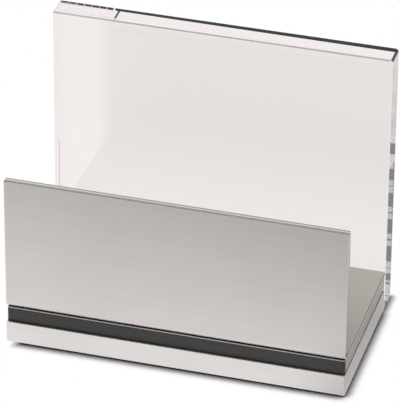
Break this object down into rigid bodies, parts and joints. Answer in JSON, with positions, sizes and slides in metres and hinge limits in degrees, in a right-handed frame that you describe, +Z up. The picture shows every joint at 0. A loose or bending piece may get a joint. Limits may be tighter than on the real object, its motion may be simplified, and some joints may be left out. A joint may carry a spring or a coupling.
{
  "type": "letter stand",
  "caption": "Open desk stand that holds letters upright between a bent sheet-metal front wall and a thick clear acrylic back panel on a layered metal base.",
  "frame": {"origin": "centre of the footprint, on the plane the four feet stand on", "axes": "+Z up, -Y towards the front wall, +Y towards the clear back panel, +X along the width, to the right seen from the front"},
  "size_m": [0.16, 0.087, 0.1334],
  "materials": {
    "satin_aluminium": "satin, fine blasted",
    "sawn_aluminium": "satin, machined edge",
    "brushed_steel": "brushed along the width",
    "anthracite_plastic": "matt anthracite",
    "clear_acrylic": "clear acrylic, polished faces and edges",
    "grey_adhesive": "grey adhesive film",
    "plated_steel": "zinc plated",
    "black_rubber": "matt black rubber"
  },
  "bodies": {
    "root": {"base_plate": "satin_aluminium", "spacer_plate": "sawn_aluminium", "accent_strip": "anthracite_plastic", "letter_tray": "brushed_steel", "back_panel": "clear_acrylic", "panel_bond": "grey_adhesive", "tray_washer_front_left": "plated_steel", "tray_washer_front_right": "plated_steel", "tray_washer_back_left": "plated_steel", "tray_washer_back_right": "plated_steel", "tray_nut_front_left": "plated_steel", "tray_nut_front_right": "plated_steel", "tray_nut_back_left": "plated_steel", "tray_nut_back_right": "plated_steel", "foot_front_left": "black_rubber", "foot_front_right": "black_rubber", "foot_back_left": "black_rubber", "foot_back_right": "black_rubber"}
  },
  "joints": []
}
